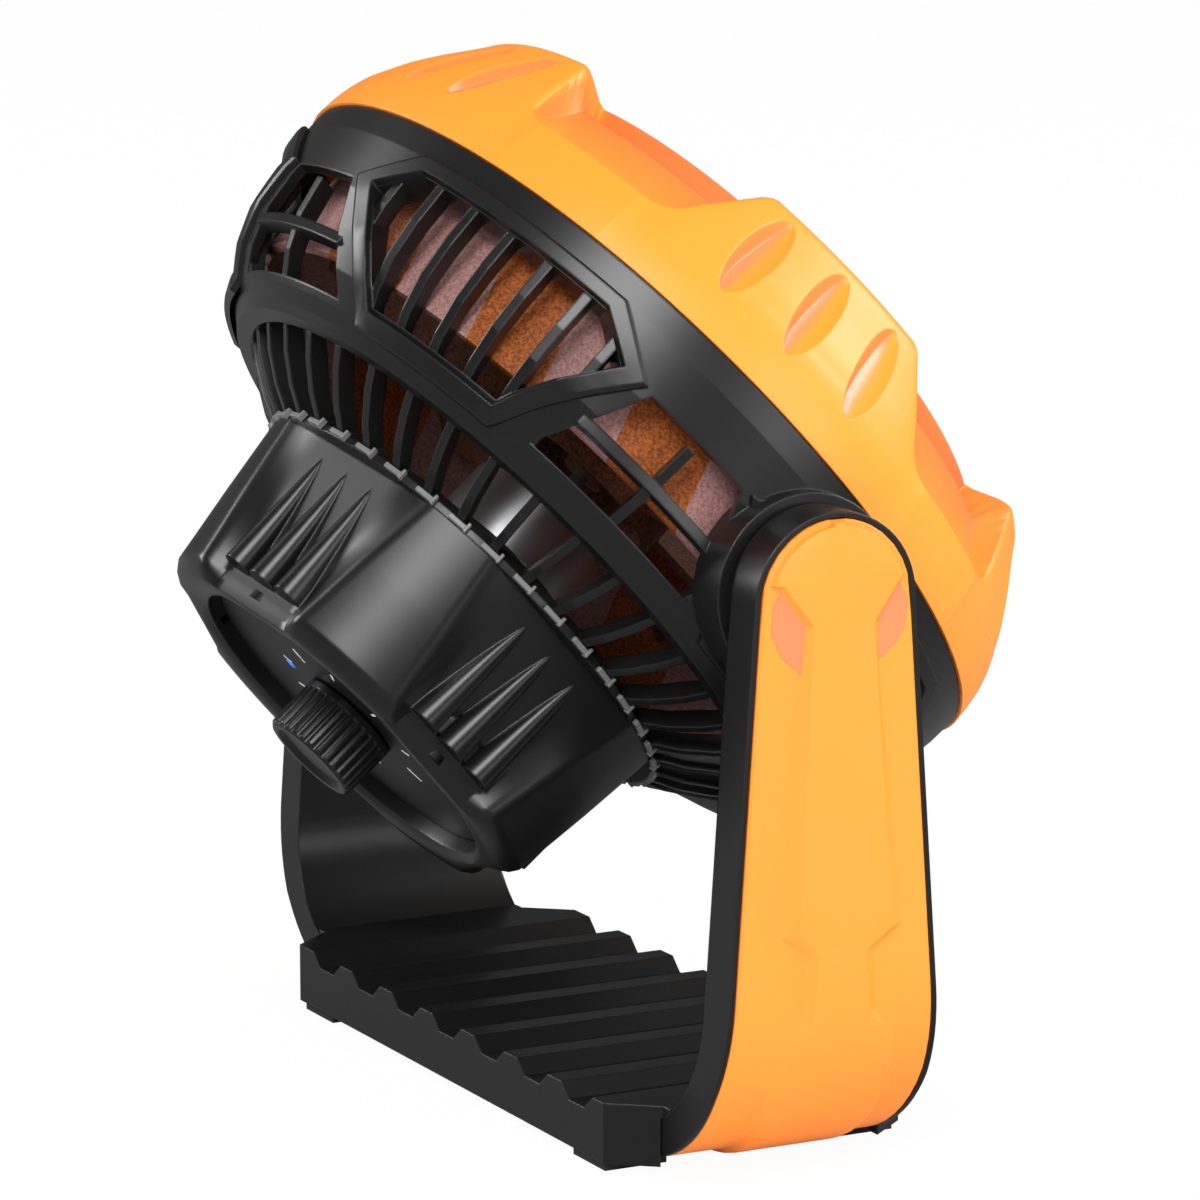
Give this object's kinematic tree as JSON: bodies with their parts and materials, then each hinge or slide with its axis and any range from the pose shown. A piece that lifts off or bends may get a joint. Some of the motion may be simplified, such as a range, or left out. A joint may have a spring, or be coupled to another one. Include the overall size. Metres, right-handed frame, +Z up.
{
  "type": "portable camping fan",
  "caption": "Portable camping fan: round head with grip ring, light ring, rear cage and battery pod, tilting on a U-shaped stand with a ridged base.",
  "frame": {"origin": "on the floor, straight under the middle of the tilt axis", "axes": "+Z up, X along the tilt axis, the air outlet faces -Y and up at rest"},
  "size_m": [0.2148, 0.1727, 0.2194],
  "materials": {
    "orange": "satin, moulded orange plastic",
    "black": "semi-gloss black plastic",
    "duct_orange": "satin",
    "frosted": "frosted, translucent white",
    "board": "matte lacquer",
    "chip": "matte",
    "steel": "plated",
    "magnet": "matte",
    "copper": "wound wire",
    "bush": "sintered",
    "cell": "shrink sleeve",
    "rubber": "matte",
    "smoke_orange": "frosted, speckled burnt orange",
    "blue": "clear blue"
  },
  "bodies": {
    "stand": {"stand_band": "black", "base_tread": "black", "tread_screws": "steel", "foot_pads": "rubber", "arm_cover_near": "orange", "arm_cover_far": "orange", "pivot_bolt_near": "steel", "pivot_bolt_far": "steel", "ratchet_ring_near": "black", "ratchet_ring_far": "black"},
    "head": {"front_ring": "orange", "led_lens": "frosted", "led_board": "board", "led_chips": "chip", "front_grille": "black", "grille_cap": "orange", "rear_cage": "black", "ring_screws": "steel", "pod_housing": "black", "rear_panel": "black", "panel_screws": "steel", "status_lens": "blue", "charging_port": "steel", "speed_control": "black", "control_board": "board", "board_parts": "black", "battery_cells": "cell", "battery_cradle": "black", "motor_mount": "black", "motor_case": "steel", "motor_end_plate": "black", "motor_bushes": "bush", "motor_magnets": "magnet"},
    "impeller": {"fan_blade": "smoke_orange", "motor_shaft": "steel", "rotor_core": "copper"},
    "knob": {"speed_knob": "black", "knob_shaft": "steel"}
  },
  "joints": [
    {"name": "head_tilt", "type": "hinge", "parent": "stand", "child": "head", "pos_m": [0, 0, 0.1195], "axis": [1, 0, 0], "range_deg": [-49.5, 130.5]},
    {"name": "fan_spin", "type": "hinge", "parent": "head", "child": "impeller", "pos_m": [0, 0.005, 0.12536], "axis": [0, -0.7604, 0.6494], "continuous": true},
    {"name": "knob_turn", "type": "hinge", "parent": "head", "child": "knob", "pos_m": [0, 0.005, 0.12536], "axis": [0, -0.7604, 0.6494], "range_deg": [0, 300]}
  ]
}
